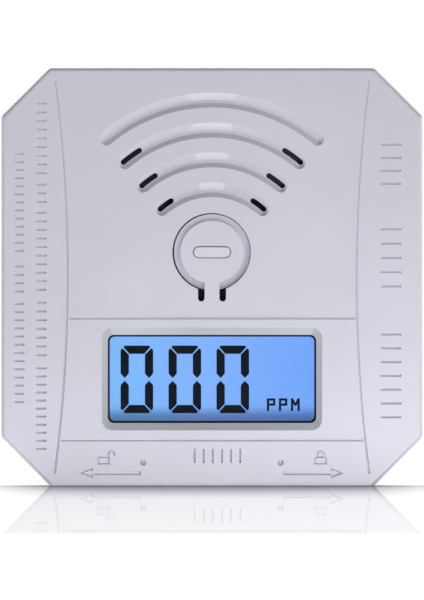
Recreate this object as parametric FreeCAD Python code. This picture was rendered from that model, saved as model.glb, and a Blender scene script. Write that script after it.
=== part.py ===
"""Battery carbon monoxide detector that slides onto a wall plate. One STEP file per sub-part.

Millimetres. +X is to the right when facing the detector, +Z is up, and the front face looks along -Y.
The origin is the middle of the base: the detector stands on z = 0, its face is at y = -DEPTH / 2
and its wall plate ends at y = +DEPTH / 2.
"""

import FreeCAD, Part
import math
import os

# ---------------------------------------------------------------- driving dimensions
WIDTH, HEIGHT, DEPTH = 102.0, 101.0, 38.0
CORNER_CUT = 11.8          # length cut off each side at the four corners
CORNER_R = 1.5             # rounding of the eight upright edges
FACE_EDGE_R = 1.0          # rounding round the front face
WALL = 2.0                 # shell thickness of cover and rear housing
GAP = 0.3                  # clearance between pieces that slide past each other

MID_Z = HEIGHT / 2
FACE_Y = -DEPTH / 2        # outside of the front face
INSIDE_Y = FACE_Y + WALL   # inside of the front face
COVER_END_Y = 3.0          # where the front cover stops
SEAM = 0.4                 # shadow line between cover and rear housing
REAR_START_Y = COVER_END_Y + SEAM
REAR_END_Y = 15.0          # back of the rear housing
PLATE_START_Y = REAR_END_Y + GAP
PLATE_END_Y = DEPTH / 2    # the face that lies on the wall

# test button: a round tongue on a neck, bent at the neck's root
BUTTON_Z = 56.45
BUTTON_R = 9.17
BUTTON_GAP = 0.28
BUTTON_OFF_CENTRE = 0.1    # the hole's centre lies this far to the left of the button's
MOAT_R, MOAT_SECTION_R = 8.38, 0.78
NECK_W, NECK_THICK = 3.6, 1.4
NECK_SLOT_W = 1.58
HINGE_Z = 44.5
PILL_L, PILL_W, PILL_GAP = 8.95, 2.68, 0.15

# arc grooves above the button, and the gas slots at their ends
ARC_CENTRE_Z = 53.1
ARCS = ((40.1, False), (32.85, True), (25.65, True), (18.45, True))  # (radius, has slots)
ARC_HALF_DEG, ARC_END_L = 38.2, 2.8
ARC_GROOVE_W, ARC_INNER_SLOPE, ARC_FLOOR_W, ARC_DEPTH = 3.6, 1.15, 0.7, 0.85
ARC_END_SLOPE = 0.8        # how far the floor stops short of the rim at each end
SLOT_W, SLOT_START_DEG, SLOT_END_L, SLOT_OUTWARD = 1.3, 32.2, 1.3, 0.45

# display window, and the sloping recess round it
WINDOW_Z, WINDOW_W, WINDOW_H, WINDOW_R = 25.83, 50.4, 21.3, 1.5
WINDOW_EDGE = 0.45         # black edge that shows inside the window
RECESS_W, RECESS_H, RECESS_R, RECESS_DEPTH = 53.2, 24.8, 2.9, 0.7

# fine lines on the face
SIDE_LINE_X, SIDE_LINE_SAG, SIDE_LINE_HALF = 34.85, 3.05, 47.3
SIDE_LINE_W, SIDE_LINE_DEPTH = 0.55, 0.3
CROSS_LINES_Z = (40.5, 11.05)
CROSS_LINE_TOP, CROSS_LINE_BOTTOM, CROSS_LINE_DEPTH = 0.5, 0.3, 0.22

# slide marks: arrows, dimples and padlock signs along the bottom
ARROW_Z, ARROW_START, ARROW_HEAD, ARROW_TIP = 3.1, 17.2, 28.7, 31.8
ARROW_HALF_SHAFT, ARROW_HALF_HEAD, MARK_DEPTH = 0.5, 1.25, 0.3
DIMPLE_X, DIMPLE_Z, DIMPLE_R = 16.6, 5.6, 0.75
SIGN_X, SIGN_Z = 26.2, 7.1
TICK_W, TICK_DEPTH = 0.5, 0.4

# rows of tick marks: (x of the row, tick length, z ranges of its groups, spacing)
TICK_ROWS = (
    (-46.5, 2.4, ((20.3, 44.0), (47.0, 53.0), (56.8, 80.2)), 2.0),
    (-41.2, 2.5, ((9.0, 28.4), (31.6, 44.3), (47.4, 66.0), (68.6, 72.8), (75.6, 92.4)), 2.0),
    (43.2, 5.0, ((73.0, 82.4), (48.2, 62.0), (16.6, 36.6)), 3.1),
)
GRIP_TICKS_X, GRIP_TICKS_N, GRIP_TICKS_STEP, GRIP_TICKS_H = 1.3, 6, 2.2, 3.4

# side vents
VENT_N, VENT_STEP, VENT_H, VENT_Z, VENT_Y0, VENT_Y1 = 8, 3.8, 1.6, 60.0, -13.0, -2.0

# circuit board and what stands on it
BOARD_Y0, BOARD_THICK = -5.1, 1.6
BOARD_Y1 = BOARD_Y0 + BOARD_THICK
BOARD_HALF_W, BOARD_Z0, BOARD_Z1 = 33.4, 6.5, 94.5
PIN_R, PIN_HOLE_R, PIN_END_Y = 0.35, 0.5, BOARD_Y1 + 1.1
SOUNDER_X, SENSOR_X, ROUND_PARTS_Z = -19.5, 19.5, 75.0
SOUNDER_R, SENSOR_R = 11.5, 10.0
SWITCH_Z, SWITCH_SIZE, SWITCH_BODY_H = 51.0, 6.0, 3.5
PLUNGER_R, PLUNGER_TIP_Y, PLUNGER_GAP = 1.75, -12.1, 0.1
LED_R, LED_H, LED_STEP = 1.5, 5.3, 3.8
COIL_X, COIL_Z = -21.0, 55.5
CAPACITORS = ((17.5, 56.5, 3.15, 9.0), (25.5, 57.0, 2.5, 8.0))
CHIP_X, CHIP_Z, CHIP_SIZE, CHIP_H, CHIP_LEADS = 2.0, 25.5, 10.0, 1.5, 11
LEAD_L, LEAD_W, LEAD_THICK, LEAD_PITCH = 1.2, 0.35, 0.25, 0.8
CHIP_PART_L, CHIP_PART_W, CHIP_PART_H, CHIP_PART_STEP = 2.0, 1.3, 0.6, 2.6
CHIP_COLUMNS = (           # (x, lowest z, how many)
    (-29.0, 62.0, 2), (29.0, 62.0, 3), (-11.5, 60.5, 2),
    (11.5, 60.5, 2), (-2.0, 83.5, 4), (2.0, 83.5, 4),
)
CHIP_ROW_X, CHIP_ROW_N = 12.0, 5

# fasteners
CASE_SCREW_X, CASE_SCREW_DZ = 38.0, 38.0
BOARD_SCREWS = ((-30.5, 47.5), (30.5, 47.5), (-30.5, 91.0), (30.5, 91.0))

# battery bay: three AA cells side by side
CELL_R, CELL_L, NUB_R, NUB_L = 7.1, 50.5, 2.7, 1.1
CELL_STEP = 15.0
CELL_Y = 7.4
BAY_HALF_W, BAY_Z0, BAY_Z1, BAY_WALL = 22.8, 22.0, 79.0, 1.5
CONTACT_THICK, CONTACT_W, BUMP_H = 0.4, 11.0, 1.0
SPRING_WIRE_R, SPRING_R, SPRING_TURNS, SPRING_CONE_DEG = 0.4, 4.4, 3.5, 12.0

# wall plate
PLATE_INSET, PLATE_BASE, PLATE_RIM = 1.0, 1.8, 1.6
HOOK_SLOT_L, HOOK_SLOT_H, HOOK_STEM, HOOK_FOOT, HOOK_FOOT_THICK = 11.0, 8.0, 2.0, 3.0, 1.6
HOOK_SLOT_X, HOOK_Z = (-41.0, 30.0), (20.0, 73.0)
WALL_SCREW_X, WALL_SCREW_R, WALL_SCREW_BOSS_R, WALL_SCREW_HEAD_R = 30.0, 2.2, 6.0, 4.4


# ---------------------------------------------------------------- shape helpers
def vec(x, y, z):
    return FreeCAD.Vector(x, y, z)


def block(x0, x1, y0, y1, z0, z1):
    return Part.makeBox(x1 - x0, y1 - y0, z1 - z0, vec(x0, y0, z0))


def rod(x, z, radius, y0, y1):
    """Cylinder along Y."""
    return Part.makeCylinder(radius, y1 - y0, vec(x, y0, z), vec(0, 1, 0))


def cone(x, z, r0, r1, y0, y1):
    """Cone along Y, r0 at y0 and r1 at y1."""
    return Part.makeCone(r0, r1, y1 - y0, vec(x, y0, z), vec(0, 1, 0))


def prism(points, y0, y1):
    """Extrudes an (x, z) outline along Y."""
    wire = Part.makePolygon([vec(x, y0, z) for x, z in points] + [vec(*_at(points[0], y0))])
    return Part.Face(wire).extrude(vec(0, y1 - y0, 0))


def _at(point, y):
    return point[0], y, point[1]


def taper(points, narrow, y0, y1):
    """Solid between the (x, z) outline `points` at y0 and the outline `narrow` at y1."""
    wires = [
        Part.makePolygon([vec(*_at(p, y)) for p in outline + outline[:1]])
        for outline, y in ((points, y0), (narrow, y1))
    ]
    return Part.makeLoft(wires, True, True)


def obround(x, z, length, width, y0, y1, upright=False):
    """Slot-shaped prism with round ends, along X or, if upright, along Z."""
    half = (length - width) / 2
    ends = [(x, z - half), (x, z + half)] if upright else [(x - half, z), (x + half, z)]
    r = width / 2
    middle = (
        block(x - r, x + r, y0, y1, z - half, z + half)
        if upright
        else block(x - half, x + half, y0, y1, z - r, z + r)
    )
    return fuse([middle] + [rod(ex, ez, r, y0, y1) for ex, ez in ends])


def round_box(x, z, width, height, radius, y0, y1):
    """Rectangular prism along Y with rounded upright corners."""
    solid = block(x - width / 2, x + width / 2, y0, y1, z - height / 2, z + height / 2)
    return solid.makeFillet(radius, edges_along_y(solid))


def edges_along_y(solid):
    found = []
    for edge in solid.Edges:
        a, b = edge.Vertexes[0].Point, edge.Vertexes[-1].Point
        if abs(a.x - b.x) < 1e-6 and abs(a.z - b.z) < 1e-6 and abs(a.y - b.y) > 1e-6:
            found.append(edge)
    return found


def edges_on_y(solid, y):
    """Edges that lie in the plane at this y."""
    return [e for e in solid.Edges if all(abs(p.y - y) < 1e-6 for p in e.discretize(3))]


def fuse(shapes):
    return shapes[0].multiFuse(shapes[1:]).removeSplitter() if len(shapes) > 1 else shapes[0]


def octagon(inset, y0, y1):
    """The detector's outline, inset all round, as a prism with rounded upright edges."""
    hw, hh = WIDTH / 2 - inset, HEIGHT / 2 - inset
    cut = CORNER_CUT - inset * (2 - math.sqrt(2))
    corners = []
    for sx, sz in ((1, -1), (1, 1), (-1, 1), (-1, -1)):
        pair = [(sx * (hw - cut), sz * hh), (sx * hw, sz * (hh - cut))]
        corners += pair if sx * sz < 0 else pair[::-1]
    solid = prism([(x, z + MID_Z) for x, z in corners], y0, y1)
    return solid.makeFillet(max(CORNER_R - inset * 0.4, 0.5), edges_along_y(solid))


def frame_between(outer_inset, inner_inset, y0, y1):
    """Octagonal ring between two insets."""
    return octagon(outer_inset, y0, y1).cut(octagon(inner_inset, y0, y1))


def polar(radius, degrees):
    """(x, z) on a circle round the arcs' centre, with the angle measured from straight up."""
    a = math.radians(degrees)
    return radius * math.sin(a), ARC_CENTRE_Z + radius * math.cos(a)


def ring_sector(profile, centre_x, centre_z, start_deg, sweep_deg):
    """Turns a (radius, y) outline about a line along Y, clockwise seen from the front."""
    wire = Part.makePolygon([vec(r, y, 0) for r, y in profile + profile[:1]])
    turned = Part.Face(wire).revolve(vec(0, 0, 0), vec(0, 1, 0), sweep_deg)
    turned.rotate(vec(0, 0, 0), vec(0, 1, 0), start_deg - 90)
    turned.translate(vec(centre_x, 0, centre_z))
    return turned


def groove_profile(radius, top_w, floor_w, depth):
    """Outline of a groove with sloping sides, carried above the face so that it cuts cleanly."""
    slope = (top_w - floor_w) / 2 / depth
    over = 0.2
    top, floor = top_w / 2 + slope * over, floor_w / 2
    return [
        (radius - top, FACE_Y - over),
        (radius + top, FACE_Y - over),
        (radius + floor, FACE_Y + depth),
        (radius - floor, FACE_Y + depth),
    ]


def groove_end(x, z, top_w, floor_w, depth):
    """Cone that rounds off the end of such a groove."""
    slope = (top_w - floor_w) / 2 / depth
    over = 0.2
    return cone(x, z, top_w / 2 + slope * over, floor_w / 2, FACE_Y - over, FACE_Y + depth)


def arc_levels(radius):
    """(y, inner radius, outer radius) of an arc groove above the face and at its floor."""
    over = 0.2
    half = ARC_GROOVE_W / 2
    floor_in = radius - half + ARC_INNER_SLOPE
    floor_out = floor_in + ARC_FLOOR_W
    grow_in = ARC_INNER_SLOPE / ARC_DEPTH * over
    grow_out = (ARC_GROOVE_W - ARC_INNER_SLOPE - ARC_FLOOR_W) / ARC_DEPTH * over
    return (
        (FACE_Y - over, radius - half - grow_in, radius + half + grow_out),
        (FACE_Y + ARC_DEPTH, floor_in, floor_out),
    )


def end_outline(inner, outer, deepest, length):
    """(radius, distance along the groove) points round a groove's end at one level.

    The outer side curves in over the whole length. The inner side runs on and turns in a tighter arc.
    """
    steps = 9
    turns = [math.pi / 2 * i / steps for i in range(steps + 1)]
    tight = deepest - inner
    long_side = [(deepest + (outer - deepest) * math.cos(t), length * math.sin(t)) for t in turns]
    turn_at = length - tight
    short_side = [
        (deepest - tight * math.sin(t), turn_at + tight * math.cos(t)) for t in turns[1:]
    ]
    return long_side + short_side + [(inner, 0)]


def arc_end(radius, side):
    """Solid that rounds off one end of an arc groove, built from flat facets."""
    angle = math.radians(side * ARC_HALF_DEG)
    along = vec(math.sin(angle), 0, math.cos(angle))
    outward = vec(along.z * side, 0, -along.x * side)
    (_, _, _), (_, floor_in, floor_out) = arc_levels(radius)
    deepest = (floor_in + floor_out) / 2
    rims = []
    for (y, inner, outer), length in zip(arc_levels(radius), (ARC_END_L, ARC_END_L - ARC_END_SLOPE)):
        points = end_outline(inner, outer, deepest, length)
        rims.append([vec(0, y, ARC_CENTRE_Z) + along * r + outward * d for r, d in points])
    top, floor = rims
    loops = [top, floor]
    for i in range(len(top)):
        j = (i + 1) % len(top)
        loops += [[top[i], top[j], floor[j]], [top[i], floor[j], floor[i]]]
    faces = [Part.Face(Part.makePolygon(loop + loop[:1])) for loop in loops]
    solid = Part.Solid(Part.Shell(faces))
    return solid if solid.Volume > 0 else solid.reversed()


# ---------------------------------------------------------------- cuts in the front face
def arc_grooves():
    cuts = []
    for radius, has_slots in ARCS:
        (y0, in0, out0), (y1, in1, out1) = arc_levels(radius)
        profile = [(in0, y0), (out0, y0), (out1, y1), (in1, y1)]
        cuts.append(ring_sector(profile, 0, ARC_CENTRE_Z, -ARC_HALF_DEG, 2 * ARC_HALF_DEG))
        for side in (-1, 1):
            cuts.append(arc_end(radius, side))
            if has_slots:
                cuts += gas_slot((in1 + out1) / 2 + SLOT_OUTWARD, side)
    return cuts


def gas_slot(radius, side):
    """A curved slot right through the face, near one end of an arc groove."""
    y0, y1 = FACE_Y - 1, INSIDE_Y + 1
    half = SLOT_W / 2
    profile = [(radius - half, y0), (radius + half, y0), (radius + half, y1), (radius - half, y1)]
    end_deg = ARC_HALF_DEG + math.degrees(SLOT_END_L / radius)
    start = SLOT_START_DEG if side > 0 else -end_deg
    shapes = [ring_sector(profile, 0, ARC_CENTRE_Z, start, end_deg - SLOT_START_DEG)]
    for degrees in (SLOT_START_DEG, end_deg):
        x, z = polar(radius, side * degrees)
        shapes.append(rod(x, z, half, y0, y1))
    return shapes


def side_lines():
    """Two fine bowed grooves that set off the side panels."""
    radius = (SIDE_LINE_HALF**2 + SIDE_LINE_SAG**2) / (2 * SIDE_LINE_SAG)
    half_deg = math.degrees(math.asin(SIDE_LINE_HALF / radius))
    cuts = []
    for side in (-1, 1):
        centre = side * (SIDE_LINE_X + radius)
        profile = groove_profile(radius, SIDE_LINE_W, 0.1, SIDE_LINE_DEPTH)
        cuts.append(ring_sector(profile, centre, MID_Z, -side * 90 - half_deg, 2 * half_deg))
        x = side * (SIDE_LINE_X + SIDE_LINE_SAG)
        for end in (-1, 1):
            z = MID_Z + end * SIDE_LINE_HALF
            cuts.append(groove_end(x, z, SIDE_LINE_W, 0.1, SIDE_LINE_DEPTH))
    return cuts


def cross_lines():
    """Two level grooves between the side lines: a long slope above and a short one below."""
    over = 0.2
    cuts = []
    for z in CROSS_LINES_Z:
        bow = (z - MID_Z) ** 2 / (SIDE_LINE_HALF**2) * SIDE_LINE_SAG
        half = SIDE_LINE_X + bow - 0.5
        grow = 1 + over / CROSS_LINE_DEPTH
        outline = [
            (FACE_Y - over, z + CROSS_LINE_TOP * grow),
            (FACE_Y + CROSS_LINE_DEPTH, z),
            (FACE_Y - over, z - CROSS_LINE_BOTTOM * grow),
        ]
        wire = Part.makePolygon([vec(-half, y, zz) for y, zz in outline + outline[:1]])
        cuts.append(Part.Face(wire).extrude(vec(2 * half, 0, 0)))
    return cuts


def arrow(side):
    """Engraved arrow that points outward on this side."""
    shaft, head, lift = ARROW_HALF_SHAFT, ARROW_HALF_HEAD, MARK_DEPTH

    def outline(s, inset):
        return [
            (side * (ARROW_START + inset), ARROW_Z - s),
            (side * ARROW_HEAD, ARROW_Z - s),
            (side * (ARROW_HEAD + inset), ARROW_Z - head + inset * 1.6),
            (side * (ARROW_TIP - inset * 2.4), ARROW_Z),
            (side * (ARROW_HEAD + inset), ARROW_Z + head - inset * 1.6),
            (side * ARROW_HEAD, ARROW_Z + s),
            (side * (ARROW_START + inset), ARROW_Z + s),
        ]

    return taper(outline(shaft, 0), outline(shaft * 0.3, 0.3), FACE_Y, FACE_Y + lift)


def tick(x, z, length, along_x):
    """One engraved V-shaped tick mark."""
    half_l, half_w = length / 2, TICK_W / 2
    sharp = 0.45
    wide = [(-half_l, -half_w), (half_l, -half_w), (half_l, half_w), (-half_l, half_w)]
    fine = [(a * (1 - 2 * half_w / length), b * sharp) for a, b in wide]
    turn = (lambda a, b: (x + a, z + b)) if along_x else (lambda a, b: (x - b, z + a))
    return taper([turn(*p) for p in wide], [turn(*p) for p in fine], FACE_Y, FACE_Y + TICK_DEPTH)


def tick_rows():
    cuts = []
    for x, length, groups, step in TICK_ROWS:
        for z0, z1 in groups:
            count = max(2, round((z1 - z0) / step) + 1)
            for i in range(count):
                cuts.append(tick(x, z0 + (z1 - z0) * i / (count - 1), length, True))
    for i in range(GRIP_TICKS_N):
        x = GRIP_TICKS_X + (i - (GRIP_TICKS_N - 1) / 2) * GRIP_TICKS_STEP
        cuts.append(tick(x, SIGN_Z + 0.2, GRIP_TICKS_H, False))
    return cuts


def padlock(side):
    """Engraved padlock outline, with its shackle shut on the right side and swung open on the left."""
    stroke, y1 = 0.45, FACE_Y + MARK_DEPTH
    body_w, body_h, shackle_r = 3.0, 2.0, 0.95
    x, z0 = side * SIGN_X, SIGN_Z - 1.9
    body = block(x - body_w / 2, x + body_w / 2, FACE_Y - 1, y1, z0, z0 + body_h)
    half_hollow = body_w / 2 - stroke
    hollow = block(
        x - half_hollow, x + half_hollow, FACE_Y - 1, y1, z0 + stroke, z0 + body_h - stroke
    )
    shackle_x = x if side > 0 else x + 2 * shackle_r
    shackle_z = z0 + body_h + 0.55
    ring = rod(shackle_x, shackle_z, shackle_r, FACE_Y - 1, y1).cut(
        rod(shackle_x, shackle_z, shackle_r - stroke, FACE_Y - 1, y1)
    )
    ring = ring.common(block(shackle_x - 2, shackle_x + 2, FACE_Y - 1, y1, shackle_z, shackle_z + 2))
    legs = []
    for end in (-1, 1):
        outer = shackle_x + end * shackle_r
        inner = outer - end * stroke
        foot = z0 + body_h if side > 0 or end < 0 else shackle_z - 0.3
        legs.append(block(min(outer, inner), max(outer, inner), FACE_Y - 1, y1, foot - 0.05, shackle_z))
    return fuse([body.cut(hollow), ring] + legs)


def face_marks():
    cuts = [arrow(-1), arrow(1), padlock(-1), padlock(1)]
    for side in (-1, 1):
        sphere_r = 1.4
        centre_y = FACE_Y - math.sqrt(sphere_r**2 - DIMPLE_R**2)
        cuts.append(Part.makeSphere(sphere_r, vec(side * DIMPLE_X, centre_y, DIMPLE_Z)))
    return cuts + tick_rows()


def display_recess():
    """Sloping sides down to the display, and the window through the rest of the wall."""
    over = 0.2
    grow_w = (RECESS_W - WINDOW_W) / RECESS_DEPTH * over
    grow_h = (RECESS_H - WINDOW_H) / RECESS_DEPTH * over
    wires = [
        rounded_wire(RECESS_W + grow_w, RECESS_H + grow_h, RECESS_R, FACE_Y - over),
        rounded_wire(WINDOW_W, WINDOW_H, WINDOW_R, FACE_Y + RECESS_DEPTH),
    ]
    window = round_box(0, WINDOW_Z, WINDOW_W, WINDOW_H, WINDOW_R, FACE_Y, INSIDE_Y + 1)
    return [Part.makeLoft(wires, True, True), window]


def rounded_wire(width, height, radius, y):
    """Rounded rectangle round the middle of the display, in the plane at this y."""
    hx, hz = width / 2, height / 2
    edges = []
    corners = ((1, -1, -90), (1, 1, 0), (-1, 1, 90), (-1, -1, 180))
    ends = []
    for sx, sz, start in corners:
        cx, cz = sx * (hx - radius), sz * (hz - radius)
        p = [
            vec(
                cx + radius * math.cos(math.radians(start + a)),
                y,
                WINDOW_Z + cz + radius * math.sin(math.radians(start + a)),
            )
            for a in (0, 45, 90)
        ]
        ends.append(p)
    for i, p in enumerate(ends):
        edges.append(Part.Arc(*p).toShape())
        edges.append(Part.makeLine(p[2], ends[(i + 1) % 4][0]))
    return Part.Wire(edges)


def button_opening():
    """The hole that the button tongue moves in: a circle, two neck slots and the root's slant."""
    y0, y1 = FACE_Y - 1, INSIDE_Y + 1
    half_neck = NECK_W / 2
    slot_x = half_neck + NECK_SLOT_W / 2
    slot_r = NECK_SLOT_W / 2
    slot_z = HINGE_Z + 0.05 + slot_r
    shapes = [rod(-BUTTON_OFF_CENTRE, BUTTON_Z, BUTTON_R + BUTTON_GAP, y0, y1)]
    for side in (-1, 1):
        shapes.append(rod(side * slot_x, slot_z, slot_r, y0, y1))
        shapes.append(
            block(side * slot_x - slot_r, side * slot_x + slot_r, y0, y1, slot_z, BUTTON_Z - 5)
        )
    root = Part.makePolygon(
        [
            vec(-half_neck, y0, HINGE_Z - 0.02),
            vec(-half_neck, FACE_Y, HINGE_Z - 0.02),
            vec(-half_neck, INSIDE_Y, HINGE_Z - 0.16),
            vec(-half_neck, y1, HINGE_Z - 0.16),
            vec(-half_neck, y1, BUTTON_Z - 5),
            vec(-half_neck, y0, BUTTON_Z - 5),
            vec(-half_neck, y0, HINGE_Z - 0.02),
        ]
    )
    shapes.append(Part.Face(root).extrude(vec(NECK_W, 0, 0)))
    return shapes


def side_vents():
    cuts = []
    for side in (-1, 1):
        wall_x = side * WIDTH / 2
        for i in range(VENT_N):
            z = VENT_Z + i * VENT_STEP
            middle = block(wall_x - 4, wall_x + 4, VENT_Y0, VENT_Y1, z - VENT_H / 2, z + VENT_H / 2)
            ends = [
                Part.makeCylinder(VENT_H / 2, 8, vec(wall_x - 4, y, z), vec(1, 0, 0))
                for y in (VENT_Y0, VENT_Y1)
            ]
            cuts.append(fuse([middle] + ends))
    return cuts


# ---------------------------------------------------------------- housing
def case_screw_places():
    return [(sx * CASE_SCREW_X, MID_Z + sz * CASE_SCREW_DZ) for sx in (-1, 1) for sz in (-1, 1)]


def front_cover():
    shell = octagon(0, FACE_Y, COVER_END_Y)
    shell = shell.makeFillet(FACE_EDGE_R, edges_on_y(shell, FACE_Y))
    shell = shell.cut(octagon(WALL, INSIDE_Y, COVER_END_Y + 1))
    shell = shell.cut(octagon(WALL / 2, COVER_END_Y - 2, COVER_END_Y + 1))
    posts = [rod(x, z, 3.4, INSIDE_Y - 0.5, COVER_END_Y - 0.8) for x, z in case_screw_places()]
    posts += [rod(x, z, 2.6, INSIDE_Y - 0.5, BOARD_Y0) for x, z in BOARD_SCREWS]
    shell = fuse([shell] + posts)
    holes = [rod(x, z, 1.35, -9.0, COVER_END_Y) for x, z in case_screw_places()]
    holes += [rod(x, z, 0.95, -13.0, BOARD_Y0 + 1) for x, z in BOARD_SCREWS]
    shell = shell.cut(Part.makeCompound(holes + side_vents()))
    for cuts in (display_recess(), button_opening(), arc_grooves(), side_lines(), cross_lines()):
        shell = shell.cut(cuts)
    return shell.cut(face_marks())


def test_button():
    disc = rod(0, BUTTON_Z, BUTTON_R, FACE_Y, INSIDE_Y)
    half_neck = NECK_W / 2
    neck_end_z = BUTTON_Z - 7.0
    moat = Part.makeTorus(MOAT_R, MOAT_SECTION_R, vec(0, FACE_Y, BUTTON_Z), vec(0, 1, 0))
    keep = block(-half_neck, half_neck, FACE_Y - 1, INSIDE_Y, HINGE_Z, BUTTON_Z)
    disc = disc.cut(moat.cut(keep))
    neck = block(-half_neck, half_neck, FACE_Y, FACE_Y + NECK_THICK, HINGE_Z, neck_end_z)
    pusher = rod(0, SWITCH_Z, 1.5, INSIDE_Y - 0.5, PLUNGER_TIP_Y - PLUNGER_GAP)
    button = fuse([disc, neck, pusher])
    hole_l, hole_w = PILL_L + 2 * PILL_GAP, PILL_W + 2 * PILL_GAP
    return button.cut(obround(0, BUTTON_Z, hole_l, hole_w, FACE_Y - 1, INSIDE_Y + 1))


def indicator_lens():
    """Frosted light window pressed into the button, with a flange behind it."""
    body = obround(0, BUTTON_Z, PILL_L, PILL_W, FACE_Y, INSIDE_Y)
    body = body.makeChamfer(0.18, edges_on_y(body, FACE_Y))
    flange = obround(0, BUTTON_Z, PILL_L + 1.6, PILL_W + 1.4, INSIDE_Y, INSIDE_Y + 0.8)
    return fuse([body, flange])


def bay_pieces():
    """Battery bay: its walls, its hollow, its low dividers and the slots for the contact legs."""
    outer = block(
        -BAY_HALF_W - BAY_WALL,
        BAY_HALF_W + BAY_WALL,
        -BAY_WALL,
        REAR_END_Y - 0.5,
        BAY_Z0 - BAY_WALL,
        BAY_Z1 + BAY_WALL,
    )
    hollow = block(-BAY_HALF_W, BAY_HALF_W, 0, REAR_END_Y + 1, BAY_Z0, BAY_Z1)
    dividers = [
        block(x - 0.4, x + 0.4, -0.5, 5.0, BAY_Z0 + 12, BAY_Z1 - 12)
        for x in (-CELL_STEP / 2, CELL_STEP / 2)
    ]
    legs = [
        block(x - 1.8, x + 1.8, -BAY_WALL - 1, 0.5, z - 0.35, z + 0.35)
        for x, z in terminal_legs()
    ]
    return outer, hollow, dividers, legs


def terminal_legs():
    """Where the two end contacts go through to the board."""
    return (
        (-CELL_STEP, BAY_Z1 - CONTACT_THICK / 2),
        (CELL_STEP, BAY_Z0 + CONTACT_THICK / 2),
    )


def hook_slots(x_extra=0.0):
    return [(x + x_extra, z) for x in HOOK_SLOT_X for z in HOOK_Z]


def rear_housing():
    shell = octagon(0, REAR_START_Y, REAR_END_Y)
    shell = shell.makeFillet(1.0, edges_on_y(shell, REAR_END_Y))
    shell = shell.cut(octagon(WALL, REAR_START_Y - 1, REAR_END_Y - WALL))
    tongue = frame_between(WALL / 2 + 0.1, WALL, COVER_END_Y - 1.8, REAR_START_Y + 1)
    outer, hollow, dividers, legs = bay_pieces()
    bosses = [
        rod(x, z, 4.2, COVER_END_Y - 0.6, REAR_END_Y - WALL + 0.5) for x, z in case_screw_places()
    ]
    shell = fuse([shell, tongue, outer] + bosses).cut(hollow)
    shell = fuse([shell] + dividers)
    cuts = legs[:]
    for x, z in case_screw_places():
        cuts += [rod(x, z, 1.5, COVER_END_Y - 1, REAR_END_Y), rod(x, z, 3.0, 6.0, REAR_END_Y + 1)]
    for x, z in hook_slots():
        cuts.append(
            block(x, x + HOOK_SLOT_L, REAR_END_Y - WALL - 1, REAR_END_Y + 1, z, z + HOOK_SLOT_H)
        )
    return shell.cut(Part.makeCompound(cuts))


def pan_screw(x, z, head_y, head_r, head_h, shank_r, tip_y):
    """Cross-recessed screw that points along -Y, with its head's seat at head_y."""
    head = rod(x, z, head_r, head_y, head_y + head_h)
    head = head.makeFillet(head_h * 0.45, edges_on_y(head, head_y + head_h))
    point = 1.6
    shank = rod(x, z, shank_r, tip_y + point, head_y)
    tip = cone(x, z, shank_r * 0.25, shank_r, tip_y, tip_y + point)
    arm, width, deep = head_r * 0.55, head_r * 0.2, head_h * 0.6
    top = head_y + head_h
    cross = [
        block(x - arm, x + arm, top - deep, top + 1, z - width, z + width),
        block(x - width, x + width, top - deep, top + 1, z - arm, z + arm),
    ]
    return fuse([head, shank, tip]).cut(Part.makeCompound([fuse(cross)]))


def case_screws():
    return [pan_screw(x, z, 6.0, 2.7, 1.9, 1.3, -8.0) for x, z in case_screw_places()]


def board_screws():
    return [pan_screw(x, z, BOARD_Y1, 2.0, 1.3, 0.9, -12.0) for x, z in BOARD_SCREWS]


# ---------------------------------------------------------------- display
GLASS_FRONT_Y, GLASS_THICK, CRYSTAL_GAP, FILM = -16.0, 1.05, 0.05, 0.2
CRYSTAL_Y = GLASS_FRONT_Y + GLASS_THICK
REAR_GLASS_Y = CRYSTAL_Y + CRYSTAL_GAP
REAR_FILM_Y = REAR_GLASS_Y + GLASS_THICK
GUIDE_Y0, GUIDE_Y1 = -13.6, -10.6
DISPLAY_Z0 = 11.5


def display_gasket():
    """Foam frame between the cover and the display, showing as a thin edge inside the window."""
    y0, y1 = INSIDE_Y, GLASS_FRONT_Y - FILM
    outer = round_box(0, WINDOW_Z, 57.2, 27.2, 1.0, y0, y1)
    hole_w, hole_h = WINDOW_W - 2 * WINDOW_EDGE, WINDOW_H - 2 * WINDOW_EDGE
    return outer.cut(round_box(0, WINDOW_Z, hole_w, hole_h, 1.2, y0 - 1, y1 + 1))


def display_front_film():
    return block(-27, 27, GLASS_FRONT_Y - FILM, GLASS_FRONT_Y, 13.0, 38.6)


def display_front_glass():
    return block(-29, 29, GLASS_FRONT_Y, CRYSTAL_Y, DISPLAY_Z0, 40.5)


def display_rear_glass():
    return block(-29, 29, REAR_GLASS_Y, REAR_FILM_Y, DISPLAY_Z0, 38.0)


def display_rear_film():
    return block(-27, 27, REAR_FILM_Y, REAR_FILM_Y + FILM, 12.2, 37.8)


DIGIT_W, DIGIT_H, SEGMENT_W, DIGIT_STEP, DIGIT_X, DIGIT_Z = 7.9, 16.4, 2.0, 11.63, -22.17, 17.45
UNIT_X, UNIT_Z, UNIT_H, UNIT_STROKE, UNIT_STEP = 13.3, 17.95, 3.1, 0.56, 2.92


def digit_outlines():
    """The six segments of a nought, as (x, z) outlines with its lower left corner at the origin."""
    w, h, t = DIGIT_W, DIGIT_H, SEGMENT_W
    top = [(0.98, h), (w - 0.98, h), (w - 0.72, h - 0.42), (w - t - 0.12, h - t)]
    top += [(t + 0.12, h - t), (0.72, h - 0.42)]
    left = [(0.0, h - 1.15), (0.43, h - 0.62), (t, h - t - 0.22), (t, h / 2 + 1.4)]
    left += [(t / 2, h / 2 + 0.33), (0.0, h / 2 + 1.4)]
    outlines = []
    for outline in (top, left):
        outlines += [outline, [(x, h - z) for x, z in outline]]
    return outlines + [[(w - x, z) for x, z in outline] for outline in outlines[2:4]]


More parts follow.
